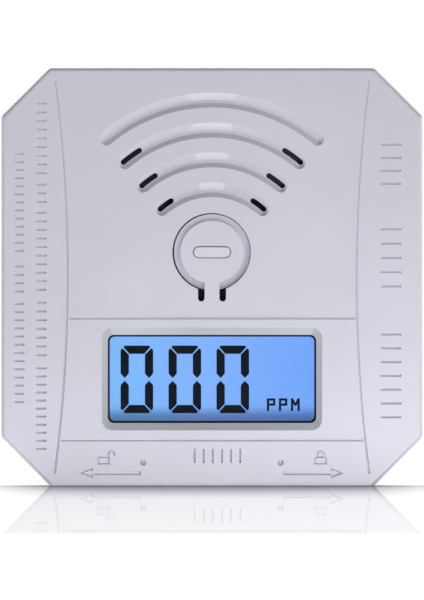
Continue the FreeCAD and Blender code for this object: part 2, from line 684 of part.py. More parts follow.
def unit_strokes():
    """The unit sign beside the digits, as groups of outlines: two letters P and a letter M."""
    h, s = UNIT_H, UNIT_STROKE
    bowl = 2.05
    letter_p = [
        [(0, 0), (s, 0), (s, h), (0, h)],
        [(s, h - s), (bowl - s, h - s), (bowl, h - s * 1.6), (bowl, h), (s, h)],
        [(bowl - s, h * 0.42), (bowl, h * 0.42), (bowl, h - s * 1.6), (bowl - s, h - s)],
        [(s, h * 0.42), (bowl, h * 0.42), (bowl, h * 0.42 + s), (s, h * 0.42 + s)],
    ]
    m_w = 2.15
    letter_m = [
        [(0, 0), (s, 0), (s, h), (0, h)],
        [(m_w - s, 0), (m_w, 0), (m_w, h), (m_w - s, h)],
        [(0, h), (s, h), (m_w / 2 + s * 0.5, h * 0.42), (m_w / 2 - s * 0.5, h * 0.42)],
        [(m_w - s, h), (m_w, h), (m_w / 2 + s * 0.5, h * 0.42), (m_w / 2 - s * 0.5, h * 0.42)],
    ]
    return letter_p, letter_p, letter_m


def display_segments():
    """The dark figures of the liquid crystal layer, between the two glasses."""
    y0, y1 = CRYSTAL_Y + 0.005, REAR_GLASS_Y - 0.005
    solids = []
    for i in range(3):
        for outline in digit_outlines():
            place = [(DIGIT_X + i * DIGIT_STEP + x, DIGIT_Z + z) for x, z in outline]
            solids.append(prism(place, y0, y1))
    for i, letter in enumerate(unit_strokes()):
        strokes = [
            prism([(UNIT_X + i * UNIT_STEP + x, UNIT_Z + z) for x, z in outline], y0, y1)
            for outline in letter
        ]
        solids.append(fuse(strokes))
    return solids


def backlight_guide():
    return block(-26.6, 28.5, GUIDE_Y0, GUIDE_Y1, 11.8, 37.9)


def backlight_reflector():
    return block(-26.6, 28.5, GUIDE_Y1, GUIDE_Y1 + 0.2, 11.8, 37.9)


def backlight_strip():
    return block(-28.9, -26.7, GUIDE_Y1, GUIDE_Y1 + 0.5, 12.0, 37.8)


def backlight_leds():
    return [
        block(-28.5, -26.8, GUIDE_Y1 - 1.5, GUIDE_Y1, z - 1.9, z + 1.9) for z in (16.5, 25.0, 33.5)
    ]


def display_holder():
    """Plastic frame on the board that carries the glass and its backlight."""
    frame = block(-31, 31, -15.2, BOARD_Y0, 9.6, 42.6).cut(
        block(-29.2, 29.2, -16, BOARD_Y0 + 1, 11.3, 40.7)
    )
    divider = block(-29.3, 29.3, GUIDE_Y0, BOARD_Y0, 38.05, 38.55)
    ledges = [
        block(-29.3, -26.9, GUIDE_Y1 + 0.5, BOARD_Y0, 11.2, 38.1),
        block(27.0, 29.3, GUIDE_Y1 + 0.2, BOARD_Y0, 11.2, 38.1),
    ]
    return fuse([frame, divider] + ledges)


def zebra_strip():
    """Rubber connector from the front glass's ledge to the board."""
    return block(-26, 26, CRYSTAL_Y, BOARD_Y0, 38.7, 40.3)


# ---------------------------------------------------------------- board and components
def led_x(i):
    return (i - 1) * LED_STEP


def lead_places():
    """Every through-hole lead on the board, as (x, z)."""
    places = [(SOUNDER_X + dx, ROUND_PARTS_Z) for dx in (-5.0, 5.0)]
    places += sensor_pin_places()
    places += [(led_x(i) + dx, BUTTON_Z) for i in range(3) for dx in (-0.9, 0.9)]
    places += [(x + dx, z) for x, z, _, _ in CAPACITORS for dx in (-1.2, 1.2)]
    places += [(COIL_X + dx, COIL_Z) for dx in (-2.5, 2.5)]
    places += [(dx, SWITCH_Z + dz) for dx in (-3.9, 3.9) for dz in (-2.2, 2.2)]
    return places


def sensor_pin_places():
    return [
        (
            SENSOR_X + 6.5 * math.cos(math.radians(a)),
            ROUND_PARTS_Z + 6.5 * math.sin(math.radians(a)),
        )
        for a in (90, 210, 330)
    ]


def leads(places, start_y):
    """Round leads from a component down through the board."""
    return [rod(x, z, PIN_R, start_y, PIN_END_Y) for x, z in places]


def main_board():
    board = round_box(
        0, (BOARD_Z0 + BOARD_Z1) / 2, 2 * BOARD_HALF_W, BOARD_Z1 - BOARD_Z0, 2.0, BOARD_Y0, BOARD_Y1
    )
    y0, y1 = BOARD_Y0 - 1, BOARD_Y1 + 1
    holes = [rod(x, z, PIN_HOLE_R, y0, y1) for x, z in lead_places()]
    holes += [rod(x, z, 1.2, y0, y1) for x, z in BOARD_SCREWS]
    holes += [block(x - 1.8, x + 1.8, y0, y1, z - 0.45, z + 0.45) for x, z in terminal_legs()]
    return board.cut(Part.makeCompound(holes))


def sounder_case():
    """Cup with a sound hole in its front."""
    front_y, back_y, wall = -15.3, BOARD_Y0 - 1.4, 1.2
    case = rod(SOUNDER_X, ROUND_PARTS_Z, SOUNDER_R, front_y, back_y)
    case = case.makeFillet(0.8, edges_on_y(case, front_y))
    hollow = rod(SOUNDER_X, ROUND_PARTS_Z, SOUNDER_R - wall, front_y + wall, back_y + 1)
    port = rod(SOUNDER_X, ROUND_PARTS_Z, 2.6, front_y - 1, front_y + wall + 1)
    lip = rod(SOUNDER_X, ROUND_PARTS_Z, 4.2, front_y - 0.5, front_y + 0.5)
    return fuse([case, lip]).cut(Part.makeCompound([fuse([hollow, port])]))


def sounder_diaphragm():
    return rod(SOUNDER_X, ROUND_PARTS_Z, SOUNDER_R - 1.3, -10.6, -10.35)


def sounder_ceramic():
    return rod(SOUNDER_X, ROUND_PARTS_Z, 7.0, -10.35, -10.1)


def sounder_base():
    base = rod(SOUNDER_X, ROUND_PARTS_Z, SOUNDER_R, BOARD_Y0 - 1.4, BOARD_Y0)
    step = rod(SOUNDER_X, ROUND_PARTS_Z, SOUNDER_R - 1.3, -9.4, BOARD_Y0 - 1.4)
    step = step.cut(rod(SOUNDER_X, ROUND_PARTS_Z, SOUNDER_R - 2.8, -10, BOARD_Y0 - 1.4))
    pins = [(SOUNDER_X + side * 5, ROUND_PARTS_Z) for side in (-1, 1)]
    return fuse([base, step] + leads(pins, BOARD_Y0 - 0.5))


def sensor_body():
    can = rod(SENSOR_X, ROUND_PARTS_Z, SENSOR_R, -14.2, BOARD_Y0 - 0.6)
    can = can.makeFillet(0.7, edges_on_y(can, -14.2))
    return fuse([can] + leads(sensor_pin_places(), BOARD_Y0 - 1.0))


def sensor_cap():
    """Ring that clamps the filter, with a gas opening."""
    cap = rod(SENSOR_X, ROUND_PARTS_Z, 7.5, -15.8, -14.2)
    cap = cap.makeFillet(0.5, edges_on_y(cap, -15.8))
    cap = cap.cut(rod(SENSOR_X, ROUND_PARTS_Z, 5.0, -15.1, -14.1))
    ports = [rod(SENSOR_X, ROUND_PARTS_Z, 0.9, -17, -14)]
    for i in range(6):
        a = math.radians(60 * i)
        x, z = SENSOR_X + 3.0 * math.cos(a), ROUND_PARTS_Z + 3.0 * math.sin(a)
        ports.append(rod(x, z, 0.9, -17, -14))
    return cap.cut(Part.makeCompound(ports))


def sensor_filter():
    return rod(SENSOR_X, ROUND_PARTS_Z, 4.9, -15.0, -14.25)


def switch_body():
    half = SWITCH_SIZE / 2
    top = BOARD_Y0 - SWITCH_BODY_H
    body = block(-half, half, top, BOARD_Y0, SWITCH_Z - half, SWITCH_Z + half)
    body = body.cut(rod(0, SWITCH_Z, PLUNGER_R + 0.15, top - 1, top + 1.6))
    places = [(dx, SWITCH_Z + dz) for dx in (-3.9, 3.9) for dz in (-2.2, 2.2)]
    feet = [
        block(min(x, x * 0.7), max(x, x * 0.7), BOARD_Y0 - 0.7, BOARD_Y0 - 0.2, z - 0.35, z + 0.35)
        for x, z in places
    ]
    return fuse([body] + feet + leads(places, BOARD_Y0 - 0.7))


def switch_cover():
    half, top = SWITCH_SIZE / 2, BOARD_Y0 - SWITCH_BODY_H
    plate = block(-half, half, top - 0.3, top, SWITCH_Z - half, SWITCH_Z + half)
    return plate.cut(rod(0, SWITCH_Z, PLUNGER_R + 0.15, top - 1, top + 1))


def switch_plunger():
    """Rests in the switch and travels towards the board."""
    plunger = rod(0, SWITCH_Z, PLUNGER_R, PLUNGER_TIP_Y, BOARD_Y0 - SWITCH_BODY_H + 0.8)
    return plunger.makeChamfer(0.25, edges_on_y(plunger, PLUNGER_TIP_Y))


def status_led(i):
    x = led_x(i)
    body = rod(x, BUTTON_Z, LED_R, BOARD_Y0 - LED_H + LED_R, BOARD_Y0)
    dome = Part.makeSphere(LED_R, vec(x, BOARD_Y0 - LED_H + LED_R, BUTTON_Z))
    flange = rod(x, BUTTON_Z, 1.8, BOARD_Y0 - 1.0, BOARD_Y0)
    pins = [(x + side * 0.9, BUTTON_Z) for side in (-1, 1)]
    return fuse([body, dome, flange] + leads(pins, BOARD_Y0 - 0.5))


def coil_core():
    """Ferrite drum."""
    y0 = BOARD_Y0 - 9.0
    core = rod(COIL_X, COIL_Z, 4.0, y0, BOARD_Y0)
    waist = rod(COIL_X, COIL_Z, 5.0, y0 + 1.4, BOARD_Y0 - 1.4).cut(
        rod(COIL_X, COIL_Z, 1.8, y0, BOARD_Y0)
    )
    places = [(COIL_X - 2.5, COIL_Z), (COIL_X + 2.5, COIL_Z)]
    return fuse([core.cut(waist)] + leads(places, BOARD_Y0 - 0.5))


def coil_winding():
    """Copper wire on the drum, as turns side by side."""
    wire, y0, y1 = 0.45, BOARD_Y0 - 7.5, BOARD_Y0 - 1.5
    count = int((y1 - y0) / wire)
    tube = rod(COIL_X, COIL_Z, 3.3, y0, y1).cut(rod(COIL_X, COIL_Z, 1.9, y0 - 1, y1 + 1))
    grooves = []
    for i in range(1, count):
        profile = [(3.12, y0 + i * wire), (3.5, y0 + i * wire - 0.16), (3.5, y0 + i * wire + 0.16)]
        ring = ring_sector(profile, COIL_X, COIL_Z, 0, 360)
        grooves.append(ring)
    return tube.cut(Part.makeCompound(grooves))


def capacitors():
    solids = []
    for x, z, radius, height in CAPACITORS:
        can = rod(x, z, radius, BOARD_Y0 - height, BOARD_Y0)
        can = can.makeFillet(0.5, edges_on_y(can, BOARD_Y0 - height))
        neck = Part.makeTorus(radius + 0.15, 0.45, vec(x, BOARD_Y0 - 1.6, z), vec(0, 1, 0))
        solids.append(fuse([can.cut(neck)] + leads([(x - 1.2, z), (x + 1.2, z)], BOARD_Y0 - 0.5)))
    return solids


def chip_block(x0, x1, y0, y1, z0, z1):
    """Block whose x and z are measured from the middle of the microcontroller."""
    return block(CHIP_X + x0, CHIP_X + x1, y0, y1, CHIP_Z + z0, CHIP_Z + z1)


def microcontroller():
    half = CHIP_SIZE / 2
    top_y = BOARD_Y0 - CHIP_H
    body = chip_block(-half, half, top_y, BOARD_Y0 - 0.1, -half, half)
    body = body.makeChamfer(0.2, edges_on_y(body, top_y))
    dot = rod(CHIP_X - half + 1.4, CHIP_Z + half - 1.4, 0.5, top_y - 1, top_y + 0.08)
    return body.cut(dot)


def microcontroller_leads():
    half_chip, half_lead = CHIP_SIZE / 2, LEAD_W / 2
    y0, y1 = BOARD_Y0 - LEAD_THICK, BOARD_Y0
    solids = []
    for side in (-1, 1):
        lo, hi = sorted((side * half_chip, side * (half_chip + LEAD_L)))
        for i in range(CHIP_LEADS):
            at = (i - (CHIP_LEADS - 1) / 2) * LEAD_PITCH
            solids.append(chip_block(lo, hi, y0, y1, at - half_lead, at + half_lead))
            solids.append(chip_block(at - half_lead, at + half_lead, y0, y1, lo, hi))
    return solids


def chip_components():
    """Small resistors and capacitors soldered flat on the board, in upright and level rows."""
    y0 = BOARD_Y0 - CHIP_PART_H
    half_l, half_w = CHIP_PART_L / 2, CHIP_PART_W / 2
    solids = []
    for x, z0, count in CHIP_COLUMNS:
        for i in range(count):
            z = z0 + i * CHIP_PART_STEP
            solids.append(block(x - half_l, x + half_l, y0, BOARD_Y0, z - half_w, z + half_w))
    for side in (-1, 1):
        for i in range(CHIP_ROW_N):
            x = side * (CHIP_ROW_X + CHIP_PART_STEP * i)
            solids.append(
                block(x - half_w, x + half_w, y0, BOARD_Y0, CHIP_Z - half_l, CHIP_Z + half_l)
            )
    return solids


# ---------------------------------------------------------------- batteries
def cell_place(i):
    """(x, nub end is up) of each cell: they alternate."""
    return (i - 1) * CELL_STEP, i != 1


def upright(x, radius, z0, z1):
    return Part.makeCylinder(radius, z1 - z0, vec(x, CELL_Y, z0), vec(0, 0, 1))


def battery_cell(i):
    x, nub_up = cell_place(i)
    base = BAY_Z0 + 5.0
    can = upright(x, CELL_R, base, base + CELL_L - NUB_L)
    can = can.makeFillet(0.7, [e for e in can.Edges if len(e.Vertexes) == 1])
    nub = upright(x, NUB_R, base + CELL_L - NUB_L - 0.5, base + CELL_L)
    nub = nub.makeFillet(0.4, [e for e in nub.Edges if abs(e.BoundBox.ZMin - base - CELL_L) < 1e-6])
    groove = Part.makeTorus(NUB_R + 0.9, 0.35, vec(x, CELL_Y, base + CELL_L - NUB_L), vec(0, 0, 1))
    cell = fuse([can.cut(groove), nub])
    return cell if nub_up else flipped(cell)


def flipped(shape):
    """Turns a shape end over end about the middle of the bay."""
    turned = shape.copy()
    turned.rotate(vec(0, CELL_Y, (BAY_Z0 + BAY_Z1) / 2), vec(0, 1, 0), 180)
    return turned


def contact_plate(x0, x1, bumps):
    """Contact strip at the upper end of the bay, with a raised bump for each nub that it meets."""
    z1 = BAY_Z1
    strip = block(x0, x1, 2.0, 13.0, z1 - CONTACT_THICK, z1)
    strip = strip.makeFillet(1.2, [e for e in strip.Edges if abs(e.Length - CONTACT_THICK) < 1e-6])
    shapes = [strip]
    for x in bumps:
        bump = Part.makeCone(3.4, 2.4, BUMP_H, vec(x, CELL_Y, z1 - CONTACT_THICK), vec(0, 0, -1))
        shapes.append(bump)
    return fuse(shapes)


def contact_leg(x):
    return block(x - 1.5, x + 1.5, BOARD_Y0 + 0.1, 3.0, BAY_Z1 - CONTACT_THICK, BAY_Z1)


def contact_positive():
    half = CONTACT_W / 2
    plate = contact_plate(-CELL_STEP - half, -CELL_STEP + half, [-CELL_STEP])
    return fuse([plate, contact_leg(-CELL_STEP)])


def contact_negative():
    """Lower end of the last cell. Made at the upper end, then turned over."""
    half = CONTACT_W / 2
    plate = fuse([contact_plate(-CELL_STEP - half, -CELL_STEP + half, []), contact_leg(-CELL_STEP)])
    return flipped(plate)


def contact_bridge_upper():
    half = CONTACT_W / 2
    return contact_plate(-half, CELL_STEP + half, [CELL_STEP])


def contact_bridge_lower():
    half = CONTACT_W / 2
    return flipped(contact_plate(-half, CELL_STEP + half, [0.0]))


def battery_springs():
    """Coned springs that press on the flat end of each cell."""
    height = 5.0 - CONTACT_THICK - 2 * SPRING_WIRE_R - 0.1
    pitch = height / SPRING_TURNS
    solids = []
    for i in range(3):
        x, nub_up = cell_place(i)
        helix = Part.makeLongHelix(pitch, height, SPRING_R, -SPRING_CONE_DEG)
        section = Part.Wire([Part.makeCircle(SPRING_WIRE_R, vec(SPRING_R, 0, 0), vec(0, 1, 0))])
        spring = Part.Wire(helix.Edges).makePipeShell([section], True, True)
        spring.translate(vec(x, CELL_Y, BAY_Z0 + CONTACT_THICK + SPRING_WIRE_R + 0.05))
        solids.append(spring if nub_up else flipped(spring))
    return solids


# ---------------------------------------------------------------- wall plate
def plate_hook(slot_x, slot_z):
    """Stem through the housing's slot, with a foot that points left behind the housing's back."""
    z0, z1 = slot_z + GAP, slot_z + HOOK_SLOT_H - GAP
    stem_x0 = slot_x + GAP
    stem_x1 = stem_x0 + HOOK_STEM
    foot_y1 = REAR_END_Y - WALL - GAP
    foot_y0 = foot_y1 - HOOK_FOOT_THICK
    stem = block(stem_x0, stem_x1, foot_y0, PLATE_END_Y - 0.5, z0, z1)
    foot = block(stem_x0 - HOOK_FOOT, stem_x1, foot_y0, foot_y1, z0, z1)
    return fuse([stem, foot])


def mounting_plate():
    base_y = PLATE_END_Y - PLATE_BASE
    base = octagon(PLATE_INSET, base_y, PLATE_END_Y)
    rim = frame_between(PLATE_INSET, PLATE_INSET + PLATE_RIM, PLATE_START_Y, PLATE_END_Y)
    ribs = [
        block(-36, 36, PLATE_START_Y + 0.4, base_y + 0.5, z - 0.6, z + 0.6) for z in (34.0, 67.0)
    ]
    bosses = [rod(sx * WALL_SCREW_X, MID_Z, WALL_SCREW_BOSS_R, 16.2, PLATE_END_Y) for sx in (-1, 1)]
    hooks = [plate_hook(x, z) for x, z in hook_slots()]
    plate = fuse([base, rim] + ribs + bosses + hooks)
    cuts = []
    for sx in (-1, 1):
        x = sx * WALL_SCREW_X
        cuts += [
            rod(x, MID_Z, WALL_SCREW_R, 15, PLATE_END_Y + 1),
            cone(x, MID_Z, WALL_SCREW_HEAD_R, WALL_SCREW_R, 16.2, 17.9),
        ]
    return plate.cut(Part.makeCompound(cuts))


# ---------------------------------------------------------------- export
PARTS = {
    "mounting_plate": mounting_plate,
    "front_cover": front_cover,
    "rear_housing": rear_housing,
    "case_screws": case_screws,
    "test_button": test_button,
    "indicator_lens": indicator_lens,
    "display_gasket": display_gasket,
    "display_front_film": display_front_film,
    "display_front_glass": display_front_glass,
    "display_segments": display_segments,
    "display_rear_glass": display_rear_glass,
    "display_rear_film": display_rear_film,
    "backlight_guide": backlight_guide,
    "backlight_reflector": backlight_reflector,
    "backlight_strip": backlight_strip,
    "backlight_leds": backlight_leds,
    "display_holder": display_holder,
    "zebra_strip": zebra_strip,
    "main_board": main_board,
    "board_screws": board_screws,
    "sounder_case": sounder_case,
    "sounder_diaphragm": sounder_diaphragm,
    "sounder_ceramic": sounder_ceramic,
    "sounder_base": sounder_base,
    "sensor_body": sensor_body,
    "sensor_cap": sensor_cap,
    "sensor_filter": sensor_filter,
    "switch_body": switch_body,
    "switch_cover": switch_cover,
    "switch_plunger": switch_plunger,
    "status_led_green": lambda: status_led(0),
    "status_led_red": lambda: status_led(1),
    "status_led_amber": lambda: status_led(2),
    "coil_core": coil_core,
    "coil_winding": coil_winding,
    "capacitors": capacitors,
    "microcontroller": microcontroller,
    "microcontroller_leads": microcontroller_leads,
    "chip_components": chip_components,
    "battery_cell_1": lambda: battery_cell(0),
    "battery_cell_2": lambda: battery_cell(1),
    "battery_cell_3": lambda: battery_cell(2),
    "contact_positive": contact_positive,
    "contact_negative": contact_negative,
    "contact_bridge_upper": contact_bridge_upper,
    "contact_bridge_lower": contact_bridge_lower,
    "battery_springs": battery_springs,
}


def main():
    os.makedirs("parts", exist_ok=True)
    for name, make in PARTS.items():
        made = make()
        solids = made if isinstance(made, list) else made.Solids
        shape = solids[0] if len(solids) == 1 else Part.makeCompound(solids)
        if not shape.isValid() or not solids:
            raise RuntimeError(name + " is not a valid solid")
        shape.exportStep("parts/" + name + ".step")
        print(name, len(solids), round(sum(s.Volume for s in solids), 1))


main()
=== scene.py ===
import math
import bpy
import bmesh
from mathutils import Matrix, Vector

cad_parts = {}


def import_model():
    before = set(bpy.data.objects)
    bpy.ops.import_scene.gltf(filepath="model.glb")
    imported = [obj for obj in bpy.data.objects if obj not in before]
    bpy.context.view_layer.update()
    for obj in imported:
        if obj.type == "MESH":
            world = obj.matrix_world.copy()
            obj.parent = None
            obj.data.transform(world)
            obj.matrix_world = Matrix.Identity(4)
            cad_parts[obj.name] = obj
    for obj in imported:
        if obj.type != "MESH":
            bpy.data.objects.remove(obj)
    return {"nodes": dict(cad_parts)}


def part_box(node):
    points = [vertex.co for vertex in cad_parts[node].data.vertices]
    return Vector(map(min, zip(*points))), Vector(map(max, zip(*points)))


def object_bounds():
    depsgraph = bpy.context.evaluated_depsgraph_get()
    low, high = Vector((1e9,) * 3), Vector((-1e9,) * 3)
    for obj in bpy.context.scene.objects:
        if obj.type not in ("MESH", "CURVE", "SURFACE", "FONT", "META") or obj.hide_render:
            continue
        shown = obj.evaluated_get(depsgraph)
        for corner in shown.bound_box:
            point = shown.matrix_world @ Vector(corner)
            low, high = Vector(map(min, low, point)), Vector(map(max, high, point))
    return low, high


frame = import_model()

cad_low, cad_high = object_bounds()
nodes = frame["nodes"]


# ---------------------------------------------------------------- node helpers
class Mat:
    """A Principled material with short ways to add nodes to it."""

    def __init__(self, name, colour, rough=0.5, metal=0.0, spec=0.5, alpha=None, coat=0.0):
        self.m = bpy.data.materials.new(name)
        self.m.use_nodes = True
        self.nt = self.m.node_tree
        self.bsdf = self.nt.nodes["Principled BSDF"]
        self.set("Base Color", (*colour[:3], 1.0))
        self.set("Roughness", rough)
        self.set("Metallic", metal)
        self.set("Specular IOR Level", spec)
        if coat:
            self.set("Coat Weight", coat)
            self.set("Coat Roughness", 0.12)
        if alpha is not None:
            self.set("Alpha", alpha)
        self._coords = None

    def set(self, socket, value):
        self.bsdf.inputs[socket].default_value = value

    def add(self, kind, **inputs):
        n = self.nt.nodes.new(kind)
        for k, v in inputs.items():
            setattr(n, k, v)
        return n

    def link(self, a, b):
        self.nt.links.new(a, b)

    def coords(self):
        if self._coords is None:
            self._coords = self.add("ShaderNodeTexCoord").outputs["Object"]
        return self._coords

    def xyz(self):
        n = self.add("ShaderNodeSeparateXYZ")
        self.link(self.coords(), n.inputs[0])
        return n.outputs

    def noise(self, scale, detail=2.0, rough=0.5, stretch=None):
        n = self.add("ShaderNodeTexNoise")
        n.inputs["Scale"].default_value = scale
        n.inputs["Detail"].default_value = detail
        n.inputs["Roughness"].default_value = rough
        src = self.coords()
        if stretch:
            mp = self.add("ShaderNodeMapping")
            mp.inputs["Scale"].default_value = stretch
            self.link(src, mp.inputs["Vector"])
            src = mp.outputs[0]
        self.link(src, n.inputs["Vector"])
        return n.outputs["Fac"]

    def ramp(self, fac, stops, mode="LINEAR"):
        n = self.add("ShaderNodeValToRGB")
        n.color_ramp.interpolation = mode
        el = n.color_ramp.elements
        while len(el) < len(stops):
            el.new(0.5)
        for e, (pos, col) in zip(el, stops):
            e.position = pos
            e.color = (*col[:3], 1.0) if len(col) >= 3 else (col[0],) * 3 + (1.0,)
        self.link(fac, n.inputs[0])
        return n.outputs[0]

    def span(self, value, lo, hi, out_lo=0.0, out_hi=1.0, smooth=False):
        n = self.add("ShaderNodeMapRange")
        n.interpolation_type = "SMOOTHSTEP" if smooth else "LINEAR"
        for i, v in enumerate((lo, hi, out_lo, out_hi)):
            n.inputs[i + 1].default_value = v
        self.link(value, n.inputs[0])
        return n.outputs[0]

    def math(self, op, a, b=0.0):
        n = self.add("ShaderNodeMath", operation=op)
        for i, v in enumerate((a, b)):
            if isinstance(v, (int, float)):
                n.inputs[i].default_value = v
            else:
                self.link(v, n.inputs[i])
        return n.outputs[0]

    def mix(self, fac, a, b, kind="MIX"):
        n = self.add("ShaderNodeMix", data_type="RGBA", blend_type=kind)
        for i, v in ((0, fac), (6, a), (7, b)):
            if isinstance(v, (int, float)):
                n.inputs[i].default_value = v
            elif isinstance(v, tuple):
                n.inputs[i].default_value = (*v[:3], 1.0)
            else:
                self.link(v, n.inputs[i])
        return n.outputs[2]

    def colour(self, out):
        self.link(out, self.bsdf.inputs["Base Color"])

    def rough(self, out):
        self.link(out, self.bsdf.inputs["Roughness"])

    def bump(self, height, depth, strength=1.0, after=None):
        n = self.add("ShaderNodeBump")
        n.inputs["Strength"].default_value = strength
        n.inputs["Distance"].default_value = depth
        self.link(height, n.inputs["Height"])
        if after is not None:
            self.link(after, n.inputs["Normal"])
        self.link(n.outputs[0], self.bsdf.inputs["Normal"])
        return n.outputs[0]


def tone(c, k):
    return tuple(min(1.0, v * k) for v in c[:3])


def moulded(name, colour, rough=0.42, grain=2600.0, depth=0.00002, spec=0.5, spread=0.025, coat=0.0):
    """Moulded plastic: fine spark-eroded grain, faint flow clouds and uneven gloss."""
    m = Mat(name, colour, rough, spec=spec, coat=coat)
    cloud = m.noise(38.0, 3.0, 0.55)
    fine = m.noise(grain, 3.0, 0.6)
    m.colour(m.ramp(cloud, [(0.3, tone(colour, 1 - spread)), (0.7, tone(colour, 1 + spread))]))
    m.rough(m.span(fine, 0.3, 0.7, rough - 0.05, rough + 0.06))
    m.bump(fine, depth, 0.35)
    return m


def metal(name, colour, rough=0.28, stretch=(1, 1, 1), scale=900.0, spread=0.08, depth=0.00001):
    """Sheet or wire metal with drawing marks and a dull patchy film."""
    m = Mat(name, colour, rough, metal=1.0)
    marks = m.noise(scale, 4.0, 0.6, stretch)
    film = m.noise(140.0, 3.0, 0.5)
    m.colour(m.ramp(film, [(0.3, tone(colour, 1 - spread)), (0.75, tone(colour, 1 + spread))]))
    m.rough(m.span(marks, 0.25, 0.75, rough - 0.08, rough + 0.12))
    m.bump(marks, depth, 0.4)
    return m


def assign(material, *names):
    for n in names:
        slots = nodes[n].data.materials
        if len(slots) == 0:
            slots.append(material.m)
        for i in range(len(slots)):
            nodes[n].material_slots[i].link = "OBJECT"
            nodes[n].material_slots[i].material = material.m


# ---------------------------------------------------------------- mouldings
SHELL = (0.768, 0.770, 0.868)
assign(moulded("shell_white", SHELL), "front_cover")
assign(moulded("rear_white", tone(SHELL, 0.99)), "rear_housing")
assign(moulded("plate_white", tone(SHELL, 0.96), rough=0.48), "mounting_plate")
assign(moulded("button_white", tone(SHELL, 1.01), rough=0.40), "test_button")
assign(moulded("holder_plastic", (0.75, 0.74, 0.70), rough=0.5), "display_holder")


def frosted():
    m = Mat("lens_frosted", (0.80, 0.81, 0.86), 0.35, spec=0.5)
    m.set("Subsurface Weight", 0.25)
    m.set("Subsurface Radius", (0.002, 0.002, 0.0022))
    m.set("Subsurface Scale", 1.0)
    cloud = m.noise(600.0, 2.0)
    m.colour(m.ramp(cloud, [(0.3, (0.775, 0.785, 0.83)), (0.7, (0.82, 0.83, 0.88))]))
    m.bump(m.noise(5200.0, 2.0), 0.000012, 0.3)
    return m


assign(frosted(), "indicator_lens")


# ---------------------------------------------------------------- display
def foam():
    m = Mat("gasket_foam", (0.004, 0.008, 0.020), 0.85)
    cells = m.add("ShaderNodeTexVoronoi")
    cells.inputs["Scale"].default_value = 4200.0
    m.link(m.coords(), cells.inputs["Vector"])
    m.colour(m.ramp(cells.outputs["Distance"], [(0.0, (0.001, 0.003, 0.012)), (0.8, (0.005, 0.010, 0.026))]))
    m.bump(cells.outputs["Distance"], 0.00006, 0.6)
    return m


def clear(name, colour, alpha, rough):
    """A thin clear layer: see-through head on, glossier at a slant, with faint streaks."""
    m = Mat(name, colour, rough, spec=0.5)
    facing = m.add("ShaderNodeFresnel")
    facing.inputs["IOR"].default_value = 1.49
    m.link(m.span(facing.outputs[0], 0.04, 0.6, alpha, 0.8), m.bsdf.inputs["Alpha"])
    streak = m.noise(240.0, 2.0)
    m.colour(m.ramp(streak, [(0.3, tone(colour, 0.85)), (0.7, colour)]))
    m.rough(m.span(streak, 0.3, 0.7, rough * 0.7, rough * 1.3))
    return m


def backlight():
    """Blue light guide: paler at the lit left edge, deeper to the right, dim along the bottom."""
    m = Mat("light_guide", (0.05, 0.12, 0.30), 0.35)
    out = m.xyz()
    across = m.span(out[0], -0.0251, 0.0251)
    left, middle, right = (0.205, 0.487, 0.960), (0.222, 0.447, 0.985), (0.172, 0.378, 0.950)
    glow = m.ramp(across, [(0.0, left), (0.45, middle), (1.0, right)])
    up = m.span(out[2], 0.0152, 0.0365)
    shade = m.ramp(up, [(0.0, (0.38,)), (0.075, (0.46,)), (0.19, (1.0,)), (1.0, (1.0,))])
    cloud = m.ramp(m.noise(90.0, 3.0), [(0.3, (0.965,)), (0.7, (1.0,))])
    lit = m.mix(1.0, m.mix(1.0, glow, shade, "MULTIPLY"), cloud, "MULTIPLY")
    m.link(lit, m.bsdf.inputs["Emission Color"])
    m.set("Emission Strength", 1.17)
    dots = m.add("ShaderNodeTexVoronoi")
    dots.inputs["Scale"].default_value = 1600.0
    m.link(m.coords(), dots.inputs["Vector"])
    m.bump(dots.outputs["Distance"], 0.00002, 0.3)
    return m


def segment():
    m = Mat("segment_dark", (0.003, 0.005, 0.010), 0.3, spec=0.1)
    m.colour(m.ramp(m.noise(1800.0, 2.0), [(0.3, (0.003, 0.005, 0.010)), (0.7, (0.004, 0.008, 0.015))]))
    m.rough(m.span(m.noise(700.0, 2.0), 0.3, 0.7, 0.25, 0.4))
    return m


def zebra():
    m = Mat("zebra_rubber", (0.3, 0.08, 0.09), 0.6)
    wave = m.add("ShaderNodeTexWave", bands_direction="X")
    wave.inputs["Scale"].default_value = 1500.0
    m.link(m.coords(), wave.inputs["Vector"])
    m.colour(m.ramp(wave.outputs["Fac"], [(0.4, (0.02, 0.02, 0.02)), (0.6, (0.35, 0.10, 0.11))]))
    m.bump(m.noise(2400.0), 0.00002, 0.4)
    return m


assign(foam(), "display_gasket")
assign(clear("polariser_front", (0.06, 0.09, 0.15), 0.035, 0.12), "display_front_film")
assign(clear("polariser_rear", (0.10, 0.14, 0.20), 0.03, 0.3), "display_rear_film")
assign(clear("display_glass", (0.3, 0.4, 0.45), 0.01, 0.06), "display_front_glass", "display_rear_glass")
assign(backlight(), "backlight_guide")
assign(segment(), "display_segments")
assign(zebra(), "zebra_strip")
assign(moulded("reflector_film", (0.86, 0.86, 0.87), rough=0.25, grain=700.0), "backlight_reflector")
assign(moulded("strip_white", (0.78, 0.77, 0.70), rough=0.35, grain=1200.0), "backlight_strip")


def led_block():
    m = Mat("led_block", (0.85, 0.82, 0.7), 0.4)
    out = m.xyz()
    cell = m.math("PINGPONG", m.math("ADD", out[2], -0.0165), 0.00425)
    phosphor = m.span(cell, 0.0010, 0.0013)
    m.colour(m.ramp(phosphor, [(0.0, (0.80, 0.62, 0.12)), (1.0, (0.85, 0.84, 0.80))]))
    m.bump(m.noise(2500.0), 0.00002, 0.3)
    return m


assign(led_block(), "backlight_leds")


